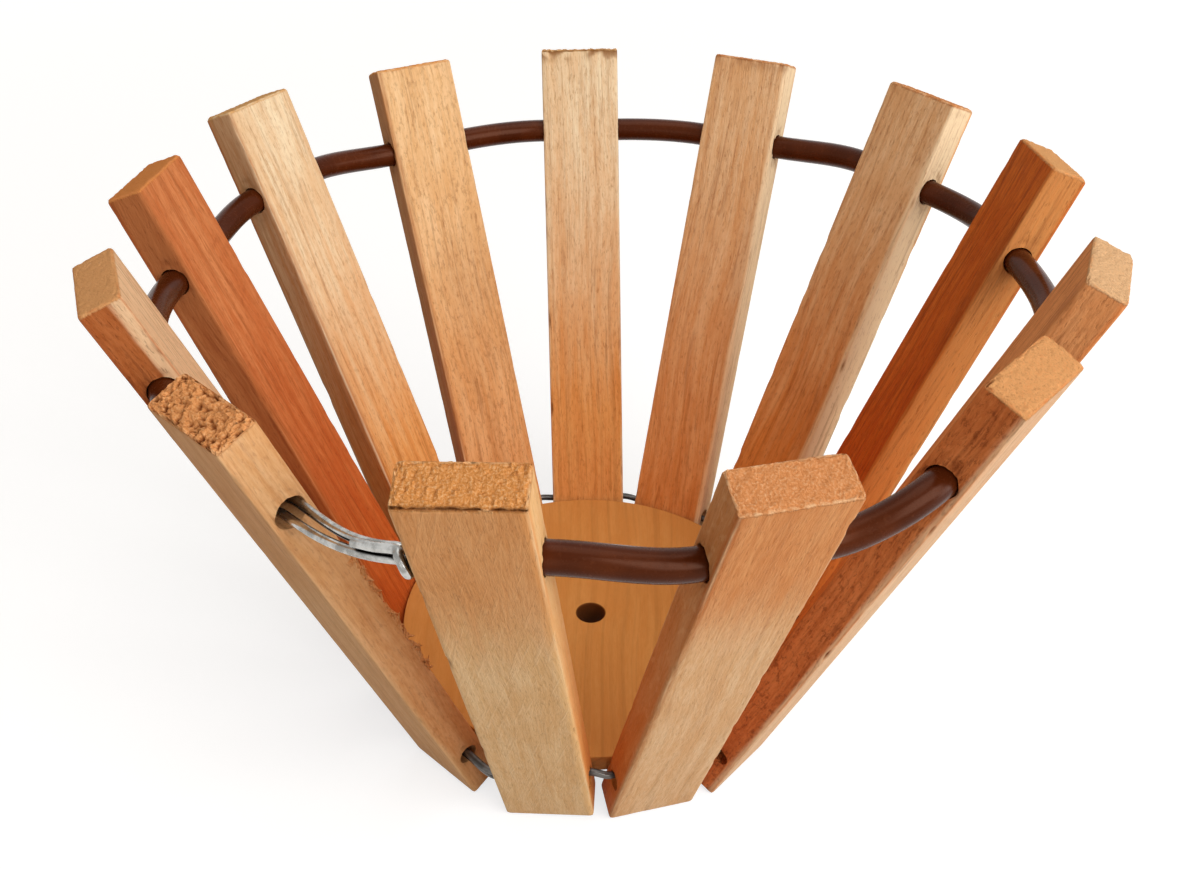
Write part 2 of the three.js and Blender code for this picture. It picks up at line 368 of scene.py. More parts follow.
        # Painted warm shade towards the foot, on the inside; the second tone takes less of it.
        cool = graph.times(other, graph.rest(given["Second Warmth"]))
        low = graph.times(graph.times(graph.step(height, 160.0, 5.0), inside), graph.rest(cool))
        return graph.tint(color, cls.FOOT_PAINTED_SHADE, low, given["Warmth"], "MULTIPLY")

    @staticmethod
    def fibrous(graph: Graph, given: Any, crumbs: Socket) -> Socket:
        """Gives the colour of torn end grain: its own, with pale crumbs and painted shade in the pits
        between them.
        """
        pale = graph.times(graph.step(crumbs, 0.46, 0.7), given["Crumble"])
        color = graph.tint(given["End"], given["Pale"], pale, 0.5)
        # Painted shade in the pits between the crumbs.
        deep = graph.times(graph.step(crumbs, 0.5, 0.3), given["Crumble"])
        return graph.tint(color, given["Dark"], deep, 0.55)

    @staticmethod
    def second(graph: Graph, given: Any, streaks: Socket) -> Socket:
        """Gives 1 in the second tone, on one side of a piece, and 0 in the rest."""
        reach = graph.vector("DOT_PRODUCT", given["Place"], given["Second Side"])
        uneven = graph.scaled(graph.math("SUBTRACT", streaks, 0.5), 3.0, reach)
        return graph.step(graph.math("SUBTRACT", uneven, given["Second Edge"]), -0.8, 0.8)

    @classmethod
    def scratches(cls, graph: Graph, grain: Socket) -> Socket:
        """Gives thin straight scratches that a saw leaves slantwise across the grain."""
        values = {"Vector": grain, "Axis": (1, 0, 0), "Angle": cls.SAW_SLANT}
        slant = graph.add("ShaderNodeVectorRotate", values, rotation_type="AXIS_ANGLE").outputs[0]
        return graph.step(graph.cloud(slant, cls.SAW_LINES), 0.56, 0.66)

    @classmethod
    def dress(cls, graph: Graph, values: dict[str, Any], relief: float) -> None:
        """Puts the grain on a material's shader.

        Args:
            graph: The material's graph.
            values: The group's inputs.
            relief: How strongly its height shows.
        """
        tree = bpy.data.node_groups.get(cls.NAME) or cls.build()
        looks = graph.add("ShaderNodeGroup", values, node_tree=tree).outputs
        sockets = (looks["Color"], looks["Roughness"], looks["Height"])
        inputs = graph.dress(*sockets, relief, cls.RELIEF_DEPTH)
        inputs["Specular IOR Level"].default_value = cls.GLOSS


class Wood(Enum):
    """Woods by tone: pale, tone, dark and end colours, as they are seen."""

    STRAW = ("ead9b8", "debc92", "9a6633", "d0a068")
    FAWN = ("ecca9c", "dcae78", "8f5a2c", "cf8c4c")
    WHEAT = ("e9bd8c", "d59d66", "8a4a22", "da965c")
    HONEY = ("e9c69c", "d8a674", "96592c", "c58350")
    AMBER = ("cf8755", "ba693a", "7c3814", "cc8448")
    RUSSET = ("c07847", "a65b2c", "602608", "cf9a66")
    CHESTNUT = ("d87832", "bd5b1d", "642204", "cf9a66")
    SIENNA = ("dc8850", "c06a36", "6a2c0c", "cc9560")
    UMBER = ("e8a66e", "d8915a", "7c4020", "cfa87e")
    BASE = ("d49652", "cc8a46", "602f12", "c17536")

    def colors(self) -> dict[str, Color]:
        """Gives the wood's colours by the grain's inputs."""
        return dict(zip(("Pale", "Tone", "Dark", "End"), map(linear, self.value)))


class Side(Enum):
    """A slat's sides, as directions in its own axes."""

    INNER = (-1.0, 0.0, 0.0)
    OUTER = (1.0, 0.0, 0.0)
    LEFT = (0.0, 1.0, 0.0)
    RIGHT = (0.0, -1.0, 0.0)


@dataclass(frozen=True)
class SapwoodAndPaintedSideShading:
    """Wood of another tone along one side of a slat: sapwood where it reaches in from a face, and
    painted light and shade where it covers only one side face, paler on a lit side and darker on a
    shaded one.

    Attributes:
        side: The side that it lies on.
        edge: Where it begins, in millimetres from the slat's middle.
        color: Its colour, as it is seen.
        warmth: How much it takes of the slat's painted shade towards its foot.
    """

    side: Side
    edge: float
    color: str
    warmth: float = 1.0


@dataclass(frozen=True)
class SlatFinish:
    """How one slat was sawn and what its wood is like.

    Attributes:
        wood: Its tone.
        second: Its second tone, if it shows one: its sapwood, or the painted light and shade of one side
            face.
        heart: Where the tree's heart lay, in millimetres from the slat's foot, across the grain.
        figure: How strongly the growth rings show.
        lines: How strongly thin dark lines show along the grain.
        pores: How strongly the pores show.
        scratches: How strongly the saw's scratches show.
        scales: How strongly the scales of rough-sawn wood show.
        tear: How deep the fibres of its top end are torn, in millimetres.
        chips: How deep its edges are chipped, in millimetres.
        ragged: The side on which its top edge is broken out, if any.
        fray: From and to which height its inner left edge is frayed, in millimetres, if it is.
        stain: How strongly its top end is stained by the saw.
        warmth: How strongly its painted shade shows: warm shade inside towards its foot, and browner
            shade outside towards its rim.
    """

    wood: Wood
    second: SapwoodAndPaintedSideShading | None = None
    heart: tuple[float, float, float] = (40.0, 15.0, 0.0)
    figure: float = 0.3
    lines: float = 0.4
    pores: float = 0.5
    scratches: float = 0.0
    scales: float = 0.1
    tear: float = 0.2
    chips: float = 0.4
    ragged: Side | None = None
    fray: tuple[float, float] | None = None
    stain: float = 0.0
    warmth: float = 1.0

    def material(self, name: str, shift: Vector) -> bpy.types.Material:
        """Makes the slat's material.

        Args:
            name: The material's name.
            shift: What is added to the slat's places, so that no two slats share a grain.

        Returns:
            The new material.
        """
        material, graph = new_material(name)
        second = self.second or SapwoodAndPaintedSideShading(Side.OUTER, SawnGrain.NO_EDGE, self.wood.value[0])
        values = {
            **self.wood.colors(),
            "Shift": shift,
            "Second": linear(second.color),
            "Second Side": second.side.value,
            "Second Edge": second.edge,
            "Second Warmth": second.warmth,
            "Heart": Vector(self.heart) - shift,
            "Crumble": clamp(1.6 * self.tear),
        }
        for key, attribute in (("Place", GRAIN), ("Marks", MARKS)):
            values[key] = graph.add("ShaderNodeAttribute", attribute_name=attribute).outputs["Vector"]
        for key in ("Figure", "Lines", "Pores", "Scratches", "Scales", "Warmth"):
            values[key] = getattr(self, key.lower())
        SawnGrain.dress(graph, values, relief=0.5)
        return material


@dataclass(frozen=True)
class SandedBoard:
    """The finish of the base: a board whose grain lies flat.

    Attributes:
        lay: How far its grain is turned from the pot's X.
        heart: Where the tree's heart lay, in millimetres.
        figure: How strongly the growth rings show.
        lines: How strongly thin dark lines show along the grain.
        pores: How strongly the pores show.
        crumble: How fibrous its end grain is.
        relief: How strongly its grain stands up after sanding.
    """

    lay: float = math.radians(35)
    heart: tuple[float, float, float] = (12.0, 90.0, 0.0)
    figure: float = 0.15
    lines: float = 0.06
    pores: float = 0.1
    crumble: float = 0.3
    relief: float = 0.25

    def material(self, drain: float, edge: float) -> bpy.types.Material:
        """Makes the board's material, with painted shade in its drain hole.

        Args:
            drain: The drain hole's radius, in metres.
            edge: How far the hole's edge is sanded round, in metres.

        Returns:
            The new material.
        """
        material, graph = new_material("sanded_board")
        place = graph.place()
        turn = {"Vector": place, "Rotation": (math.pi / 2, 0, self.lay), "Scale": (1 / MM,) * 3}
        reach = graph.vector("LENGTH", graph.vector("MULTIPLY", place, (1, 1, 0)))
        # Painted shade: the drain hole's wall takes the dark of torn wood.
        drain_shade = graph.step(reach, drain + edge, drain)
        values = {
            **Wood.BASE.colors(),
            "Place": graph.add("ShaderNodeMapping", turn).outputs[0],
            "Marks": graph.add("ShaderNodeCombineXYZ", {2: drain_shade}).outputs[0],
            "Second Edge": SawnGrain.NO_EDGE,
        }
        for key in ("Heart", "Figure", "Lines", "Pores", "Crumble"):
            values[key] = getattr(self, key.lower())
        SawnGrain.dress(graph, values, self.relief)
        return material


@dataclass(frozen=True)
class BrownPlastic:
    """The finish of the hose: dark brown plastic, drawn smooth and a little scuffed.

    Attributes:
        deep: The colour of its darker stretches, as it is seen.
        pale: The colour of its paler stretches, as it is seen.
        scuffed: The colour of its scuffs, as it is seen.
        rough: How rough it is where it isn't scuffed.
        gloss: How strongly it mirrors.
        gloss_tint: The colour of what it mirrors.
        stretches: The pattern of its paler stretches, in metres.
        scuffs: The pattern of its scuffs, in metres.
    """

    deep: str = "3f1806"
    pale: str = "4d210b"
    scuffed: str = "6d3a1c"
    rough: float = 0.24
    gloss: float = 0.18
    gloss_tint: Color = (1.0, 0.55, 0.38, 1.0)
    stretches: Cloud = Cloud((90, 90, 90), 3.0)
    scuffs: Cloud = Cloud((900, 900, 900), 4.0, 0.7)

    def material(self) -> bpy.types.Material:
        """Makes the hose's material."""
        material, graph = new_material("brown_plastic")
        place = graph.place()
        cloud = graph.cloud(place, self.stretches)
        scuff = graph.cloud(place, self.scuffs)
        color = graph.mix(graph.step(cloud, 0.35, 0.7), linear(self.deep), linear(self.pale))
        color = graph.tint(color, linear(self.scuffed), graph.step(scuff, 0.62, 0.75), 0.25)
        rough = graph.scaled(graph.step(scuff, 0.5, 0.75), 0.2, self.rough)
        inputs = graph.dress(color, rough, cloud, 0.12, 0.4 * MM)
        inputs["Specular IOR Level"].default_value = self.gloss
        inputs["Specular Tint"].default_value = self.gloss_tint
        return material


@dataclass(frozen=True)
class ZincCoat:
    """The zinc on a wire, with dull and bright patches, and painted shade between strands that lie
    close.

    Attributes:
        dull: The colour of its dull patches, as it is seen.
        bright: The colour of its bright patches, as it is seen.
        rough: How rough the bright patches are.
        crevice_shade: The colour of the painted shade between strands, as it is seen.
        crevice_shade_reach: How close strands must lie for the painted shade between them, in metres.
        patches: The pattern of the patches, in metres.
        grains: The pattern of the zinc's fine grains, in metres.
    """

    dull: str
    bright: str
    rough: float
    crevice_shade: str = "1b1815"
    crevice_shade_reach: float = 0.0025
    patches: Cloud = Cloud((300, 300, 300), 3.0, 0.6)
    grains: Cloud = Cloud((2600, 2600, 2600))

    def material(self, name: str) -> bpy.types.Material:
        """Makes the coat's material.

        Args:
            name: The material's name.

        Returns:
            The new material.
        """
        material, graph = new_material(name)
        place = graph.place()
        spangle = graph.cloud(place, self.patches)
        color = graph.mix(graph.step(spangle, 0.35, 0.65), linear(self.dull), linear(self.bright))
        # Painted shade: where the wire's own strands lie close, its colour darkens towards the shade
        # colour.
        crevice = {"Distance": self.crevice_shade_reach}
        clear = graph.add("ShaderNodeAmbientOcclusion", crevice, samples=16, only_local=True)
        color = graph.mix(graph.step(clear.outputs["AO"], 0.92, 0.55), color, linear(self.crevice_shade))
        rough = graph.scaled(graph.step(spangle, 0.65, 0.35), 0.15, self.rough)
        inputs = graph.dress(color, rough, graph.cloud(place, self.grains), 0.15, 0.2 * MM)
        inputs["Metallic"].default_value = 1.0
        return material


def new_piece(name: str, mesh: bmesh.types.BMesh) -> bpy.types.Object:
    """Puts a mesh into the scene as an object at the origin.

    Args:
        name: The object's name.
        mesh: Its shape, which is used up.

    Returns:
        The new object, shaded smooth.
    """
    data = bpy.data.meshes.new(name)
    mesh.to_mesh(data)
    mesh.free()
    data.shade_smooth()
    piece = bpy.data.objects.new(name, data)
    bpy.context.scene.collection.objects.link(piece)
    return piece


def final_shape(source: bpy.types.Object) -> bmesh.types.BMesh:
    """Gives a curve's or an object's shape as a mesh to work on, with its modifiers applied."""
    depsgraph = bpy.context.evaluated_depsgraph_get()
    shape = bpy.data.meshes.new_from_object(source.evaluated_get(depsgraph))
    mesh = bmesh.new()
    mesh.from_mesh(shape)
    bpy.data.meshes.remove(shape)
    return mesh


def seat(piece: bpy.types.Object, body: str, node: str) -> None:
    """Lets a piece stand for a solid.

    Args:
        piece: The finished piece.
        body: The body that it moves with.
        node: The solid that it stands for.
    """
    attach(piece, body)
    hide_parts(node)
    LOG.info("%s: %d faces, for %s", piece.name, len(piece.data.polygons), node)


@dataclass(frozen=True)
class Hole:
    """A hole drilled across a slat: its height over the slat's foot and its radius, in metres."""

    height: float
    radius: float


@dataclass(frozen=True)
class SlatFrame:
    """Where a slat stands and how large it is, read from its solid.

    Attributes:
        matrix: From the slat's own axes to the pot's: X faces out, Z runs up from its foot.
        size: Its thickness, width and length, in metres.
        rim: The hole that the hose goes through.
        foot: The hole that the foot wire goes through.
    """

    matrix: Matrix
    size: Vector
    rim: Hole
    foot: Hole

    @classmethod
    def read(cls, node: bpy.types.Object) -> "SlatFrame":
        """Reads a slat's frame.

        Args:
            node: The slat's solid.

        Returns:
            Its frame.
        """
        faces = node.data.polygons
        out = max(faces, key=lambda face: face.area).normal.copy()
        middle = sum((vert.co for vert in node.data.vertices), Vector()) / len(node.data.vertices)
        if out.x * middle.x + out.y * middle.y < 0:
            out.negate()
        ends = [face.normal for face in faces if abs(face.normal.dot(out)) < 0.01]
        along = max(ends, key=lambda normal: abs(normal.z)).copy()
        if along.z < 0:
            along.negate()
        turn = Matrix((out, along.cross(out), along)).transposed()
        spots = [turn.transposed() @ vert.co for vert in node.data.vertices]
        low = Vector([min(spot[axis] for spot in spots) for axis in range(3)])
        high = Vector([max(spot[axis] for spot in spots) for axis in range(3)])
        origin = Vector(((low.x + high.x) / 2, (low.y + high.y) / 2, low.z))
        inside = [spot.z - low.z for spot in spots if low.x + MM < spot.x < high.x - MM]
        half = (high.z - low.z) / 2
        matrix = Matrix.Translation(turn @ origin) @ turn.to_4x4()
        rim = cls.hole([height for height in inside if height > half])
        foot = cls.hole([height for height in inside if height < half])
        return cls(matrix, high - low, rim, foot)

    @staticmethod
    def hole(heights: list[float]) -> Hole:
        """Gives the hole whose wall has points at these heights."""
        return Hole((max(heights) + min(heights)) / 2, (max(heights) - min(heights)) / 2)

    def place(self, out: float, across: float, height: float) -> Vector:
        """Gives a point in the pot's axes from one in the slat's."""
        return self.matrix @ Vector((out, across, height))

    @property
    def onward(self) -> Vector:
        """The way that a strand goes through the slat, clockwise round the pot."""
        return -self.matrix.to_3x3().col[1].normalized()


@dataclass
class SawnSlat:
    """A slat with torn ends, chipped edges and drilled holes.

    Attributes:
        node: The name of the solid that it stands for.
        place: Its frame.
        finish: How it was sawn.
        seed: What sets its grain and chips apart from the other slats'.
        rows: How many rows of faces it has over its thickness, width and length.
        pull: How far the rows are drawn to its edges.
        sharp: The angle from which an edge is shaded as an edge.
        edge: How far its edges are rounded, in metres.
        edge_reach: How far from an edge the chips reach, in metres.
        end_reach: How far down from an end the fibres are torn, in metres.
        hole_reach: How far round a hole the fibres are torn, in metres.
        hole_bite: How deep they are torn there, in metres.
        dark_bite: How deep a chip is when its painted shade is at its darkest, in metres.
        pit_depth: How deep an end is torn where painted shade begins in its pits, in metres.
        stain_reach: How far down from the top end it is stained, in metres.
        foot_tear: How deep the fibres of its foot are torn, in millimetres.
        ragged_depth: How deep a broken-out top edge is, in millimetres.
        fray_reach: How far from a frayed edge the wood is broken open, in metres.
        splinters: How many splinters stand off a frayed edge.
        splinter_length: The length of a splinter, from and to, in millimetres.
        splinter_thick: The radius of its thick end, from and to, in millimetres.
        drill_sides: How many sides the rim hole and the foot hole have.
        shift: Its own part of the grain, in millimetres.
    """

    node: str
    place: SlatFrame
    finish: SlatFinish
    seed: int
    rows: tuple[int, int, int] = (12, 26, 150)
    pull: float = 0.6
    sharp: float = math.radians(38)
    edge: float = 0.00022
    edge_reach: float = 0.0013
    end_reach: float = 0.0016
    hole_reach: float = 0.0009
    hole_bite: float = 0.0003
    dark_bite: float = 0.0006
    pit_depth: float = 0.0005
    stain_reach: float = 0.006
    foot_tear: float = 0.2
    ragged_depth: float = 1.3
    fray_reach: float = 0.003
    splinters: int = 44
    splinter_length: tuple[float, float] = (1.6, 4.2)
    splinter_thick: tuple[float, float] = (0.45, 0.95)
    drill_sides: tuple[int, int] = (40, 28)
    shift: Vector = field(init=False)

    def __post_init__(self) -> None:
        """Picks the slat's own part of the grain."""
        self.shift = Vector(GRAIN_STRIDE) * self.seed

    def build(self) -> bpy.types.Object:
        """Builds and dresses the slat.

        Returns:
            The finished piece.
        """
        mesh = self.drilled(self.block())
        self.tear(mesh)
        self.fray(mesh)
        mesh.transform(self.place.matrix)
        piece = new_piece("sawn_" + self.node, mesh)
        piece.data.materials.append(self.finish.material("sawn_" + self.node, self.shift))
        piece.data.set_sharp_from_angle(angle=self.sharp)
        return piece

    def block(self) -> bmesh.types.BMesh:
        """Makes the plain block, with rows of faces that crowd towards its edges and its top."""
        mesh = bmesh.new()
        bmesh.ops.create_cube(mesh, size=1.0)
        for axis, rows in enumerate(self.rows):
            edges = [e for e in mesh.edges if abs(e.verts[0].co[axis] - e.verts[1].co[axis]) > ALIKE]
            bmesh.ops.subdivide_edges(mesh, edges=edges, cuts=rows - 1, use_grid_fill=True)
        for vert in mesh.verts:
            for axis in range(3):
                share = vert.co[axis] + 0.5
                share -= self.pull * math.sin(2 * math.pi * share) / (2 * math.pi)
                vert.co[axis] = (share - (0.0 if axis == 2 else 0.5)) * self.place.size[axis]
        top = [face for face in mesh.faces if face.normal.z > 0.9]
        edges = {edge for face in top for edge in face.edges}
        bmesh.ops.subdivide_edges(mesh, edges=list(edges), cuts=1, use_grid_fill=True)
        return mesh

    def drilled(self, block: bmesh.types.BMesh) -> bmesh.types.BMesh:
        """Drills both holes through a block.

        Args:
            block: The plain block, which is used up.

        Returns:
            The drilled block, in the slat's own axes.
        """
        drill = bmesh.new()
        for hole, sides in zip((self.place.rim, self.place.foot), self.drill_sides):
            spot = Matrix.Translation((0, 0, hole.height)) @ Matrix.Rotation(math.pi / 2, 4, "X")
            bmesh.ops.create_cone(
                drill, cap_ends=True, segments=sides, radius1=hole.radius, radius2=hole.radius,
                depth=2 * self.place.size.y, matrix=spot,
            )
        stock, tool = new_piece("stock", block), new_piece("drill", drill)
        cut = stock.modifiers.new("holes", "BOOLEAN")
        cut.operation, cut.object, cut.solver = "DIFFERENCE", tool, "EXACT"
        result = final_shape(stock)
        for spare in (stock, tool):
            data = spare.data
            bpy.data.objects.remove(spare)
            bpy.data.meshes.remove(data)
        return result

    def tear(self, mesh: bmesh.types.BMesh) -> None:
        """Chips the edges, tears the ends and holes, and writes down where in the wood each point lies
        and its marks, with painted shade where chips, pits and hole mouths are deep.

        Args:
            mesh: The drilled slat, in its own axes, which is changed.
        """
        grain = mesh.verts.layers.float_vector.new(GRAIN)
        marks = mesh.verts.layers.float_vector.new(MARKS)
        half = self.place.size / 2
        for vert in mesh.verts:
            spot = vert.co - Vector((0, 0, half.z))
            depths = Vector([half[axis] - abs(spot[axis]) for axis in range(3)])
            inward = Vector([-math.copysign(1, spot[axis]) for axis in range(3)])
            vert[grain] = vert.co / MM
            worn = torn = 0.0
            for first, second in ((0, 1), (0, 2), (1, 2)):
                near = 1 - max(depths[first], depths[second]) / self.edge_reach
                if near <= 0:
                    continue
                bite = self.bite(spot, first, second)
                move = (self.edge + bite) * near**2
                vert.co[first] += inward[first] * move
                vert.co[second] += inward[second] * move
                # Wear and a painted highlight on the rounded edge.
                worn = max(worn, near)
                # Painted shade: the deeper the chip, the darker it shows.
                torn = max(torn, clamp(bite / self.dark_bite) * near)
            if depths.z < TINY:
                depth = self.fibres(spot)
                vert.co.z += inward.z * depth
                # Painted shade in the deep pits of the torn end.
                torn = max(torn, clamp((depth - self.pit_depth) / self.dark_bite))
            elif spot.z > 0:
                torn = max(torn, self.stain(spot) * clamp(1 - depths.z / self.stain_reach))
            if depths.y < TINY:
                near = self.splinter(spot)
                vert.co.y += inward.y * near * self.hole_bite
                # Painted shade at a hole's mouth, as deep as it is splintered.
                torn = max(torn, 0.5 * near)
            vert[marks] = (clamp(1 - depths.z / self.end_reach), worn, torn)

    def stain(self, spot: Vector) -> float:
        """Gives how dark the saw has stained a long face at a point by the top end, from 0 to 1."""
        patches = noise.noise(Vector((spot.x * 0.3, spot.y * 0.45, spot.z * 0.35)) / MM + self.shift)
        return self.finish.stain * clamp(0.55 + 2.2 * patches)

    def bite(self, spot: Vector, first: int, second: int) -> float:
        """Gives how far an edge is chipped away.

        Args:
            spot: A point at the edge, from the slat's middle.
            first: One axis across the edge.
            second: The other axis across it.

        Returns:
            The depth in metres.
        """
        corner = 40 * (first + 2 * second) + 20 * (spot[first] > 0) + 10 * (spot[second] > 0)
        along = spot[3 - first - second] / MM
        seed = 13.0 * self.seed
        coarse = noise.noise(Vector((along * 0.13, corner, seed)))
        fine = noise.noise(Vector((along * 0.9, corner + 5, seed)))
        depth = max(0.0, coarse - 0.12) * self.finish.chips * (1.1 + 0.7 * fine)
        ragged = self.finish.ragged
        if ragged and second == 2 and spot.z > 0 and ragged.value[first] * spot[first] > 0:
            broken = noise.noise(Vector((along * 0.5, corner + 9, seed)))
            depth += max(0.0, 0.45 + broken) * self.ragged_depth
        return depth * MM

    def fray(self, mesh: bmesh.types.BMesh) -> None:
        """Breaks the inner left edge open and lets splinters stand off it, along the grain.

        Args:
            mesh: The torn slat, in its own axes, which is changed.
        """
        if not self.finish.fray:
            return
        grain = mesh.verts.layers.float_vector[GRAIN]
        marks = mesh.verts.layers.float_vector[MARKS]
        low, high = self.finish.fray
        dice = random.Random(self.seed)
        corner = Vector((-self.place.size.x / 2, self.place.size.y / 2, 0)) * 0.96
        for vert in mesh.verts:
            near = 1 - (vert.co.xy - corner.xy).length / self.fray_reach
            if near > 0 and low * MM < vert.co.z < high * MM:
                patch = clamp(0.3 + 1.5 * noise.noise(vert.co * 0.25 / MM))
                vert[marks].x = max(vert[marks].x, 1.2 * near * patch)
        for _ in range(self.splinters):
            foot = corner + Vector((0, 0, dice.uniform(low, high) * MM))
            length = dice.uniform(*self.splinter_length) * MM
            inwards, aside = -dice.uniform(0.15, 0.7), dice.uniform(-0.2, 0.35)
            slant = Vector((inwards, aside, dice.choice((-1.0, 1.0))))
            turn = slant.to_track_quat("Z", "Y").to_matrix().to_4x4()
            thick = dice.uniform(*self.splinter_thick) * MM
            made = bmesh.ops.create_cone(
                mesh, cap_ends=True, segments=5, radius1=thick, radius2=thick / 8, depth=length,
                matrix=Matrix.Translation(foot) @ turn @ Matrix.Translation((0, 0, length * 0.4)),
            )
            for vert in made["verts"]:
                vert[grain] = vert.co / MM
                vert[marks] = (dice.uniform(0.4, 1.0), 0.0, dice.uniform(0.0, 0.4))

    def fibres(self, spot: Vector) -> float:
        """Gives how deep an end's fibres are torn at a point, in metres."""
        where = Vector((spot.x / MM, spot.y / MM, 29.0 * self.seed))
        lumps = noise.fractal(where * 0.95, 0.7, 2.1, 4)
        depth = self.finish.tear if spot.z > 0 else self.foot_tear
        return max(-0.4, 0.45 + lumps) * depth * MM

    def splinter(self, spot: Vector) -> float:
        """Gives how much the wood is splintered at a point by a hole's mouth, from 0 to 1."""
        near = 0.0
        for hole in (self.place.rim, self.place.foot):
            rise = spot.z + self.place.size.z / 2 - hole.height
            reach = math.hypot(spot.x, rise * 0.6) - hole.radius
            near = max(near, clamp(1 - reach / self.hole_reach))
        where = Vector((spot.x, spot.z * 0.4, spot.y)) / MM * 0.9 + Vector((0, 0, self.seed))
        return near * clamp(0.5 + noise.noise(where))


@dataclass
class Slats:
    """The ring of slats, clockwise from the gap where the wires are closed.

    Attributes:
        finishes: How each slat was sawn.
        places: The slats' frames, once they are built.
    """

    # Second tones that begin 11 mm or more from a slat's middle cover only one side face, as painted
    # light and shade: painted shade on the left sides of slats 3, 4 and 5 and the right side of slat 12,
    # painted light on the right sides of slats 7, 8 and 9 and the left side of slat 13. Those of slats 2
    # and 11 are sapwood.
    finishes: tuple[SlatFinish, ...] = (
        SlatFinish(
            Wood.WHEAT, figure=0.12, lines=0.2, pores=0.4, scratches=0.15, tear=1.0, chips=0.6,
            fray=(62.0, 116.0), warmth=0.25,
        ),
        SlatFinish(
            Wood.RUSSET, SapwoodAndPaintedSideShading(Side.INNER, 2.0, "f2d3aa"), figure=0.35, pores=0.8, scales=0.3,
            warmth=0.6,
        ),
        # Painted shade on its left side face.
        SlatFinish(
            Wood.AMBER, SapwoodAndPaintedSideShading(Side.LEFT, 11.3, "a06036"), figure=0.25, pores=0.6, scales=0.2,
            heart=(-30.0, 22.0, 0.0),
        ),
        # Painted shade on its left side face.
        SlatFinish(
            Wood.STRAW, SapwoodAndPaintedSideShading(Side.LEFT, 11.3, "b37643"), figure=0.1, pores=0.7, scales=0.25,
            warmth=1.3,
        ),
        # Painted shade on its left side face.
        SlatFinish(
            Wood.FAWN, SapwoodAndPaintedSideShading(Side.LEFT, 11.3, "b07242"), figure=0.15, pores=0.6, scales=0.45,
            heart=(-55.0, 10.0, 0.0), warmth=0.6,
        ),
        SlatFinish(
            Wood.STRAW, figure=0.2, pores=0.7, scales=0.25, tear=0.5, chips=0.9, heart=(5.0, 70.0, 0.0),
            ragged=Side.INNER, stain=1.0, warmth=1.3,
        ),
        # Painted light on its right side face.
        SlatFinish(
            Wood.HONEY, SapwoodAndPaintedSideShading(Side.RIGHT, 11.3, "f3dfba", 0.35), figure=0.2, pores=0.7, scales=0.2,
            stain=0.6, warmth=0.9,
        ),
        # Painted light on its right side face.
        SlatFinish(
            Wood.HONEY, SapwoodAndPaintedSideShading(Side.RIGHT, 11.0, "f3dfba", 0.3), figure=0.25, pores=0.7, scales=0.25,
            chips=0.7, stain=0.4, warmth=1.3,
        ),
        # Painted light on its right side face.
        SlatFinish(
            Wood.CHESTNUT, SapwoodAndPaintedSideShading(Side.RIGHT, 11.6, "ce9458"), figure=0.4, pores=0.6, scales=0.25,
        ),
        SlatFinish(Wood.UMBER, figure=0.25, pores=0.7, scales=0.25, tear=0.3),
        SlatFinish(
            Wood.SIENNA, SapwoodAndPaintedSideShading(Side.OUTER, 4.0, "ebd0aa"), figure=0.3, pores=0.6, scales=0.7,
            tear=0.35, chips=0.8, warmth=0.2,
        ),
        # Painted shade on its right side face.
        SlatFinish(
            Wood.HONEY, SapwoodAndPaintedSideShading(Side.RIGHT, 11.3, "bc7840"), figure=0.12, lines=0.25, pores=0.45,
            scratches=0.2, tear=0.4, heart=(70.0, 30.0, 0.0), warmth=1.1,
        ),
        # Painted light on its left side face.
        SlatFinish(
            Wood.FAWN, SapwoodAndPaintedSideShading(Side.LEFT, 11.0, "e8b77a"), figure=0.12, lines=0.12, pores=0.4,
            scratches=0.4, scales=0.2, tear=0.6, chips=0.7, ragged=Side.OUTER, warmth=0.9,
        ),
    )
    places: list[SlatFrame] = field(default_factory=list)

    def build(self) -> None:
        """Builds every slat in its place."""
        for index, finish in enumerate(self.finishes):
            node = f"slat_{index + 1:02d}"
            place = SlatFrame.read(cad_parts[node])
            self.places.append(place)
            seat(SawnSlat(node, place, finish, index + 1).build(), "pot", node)


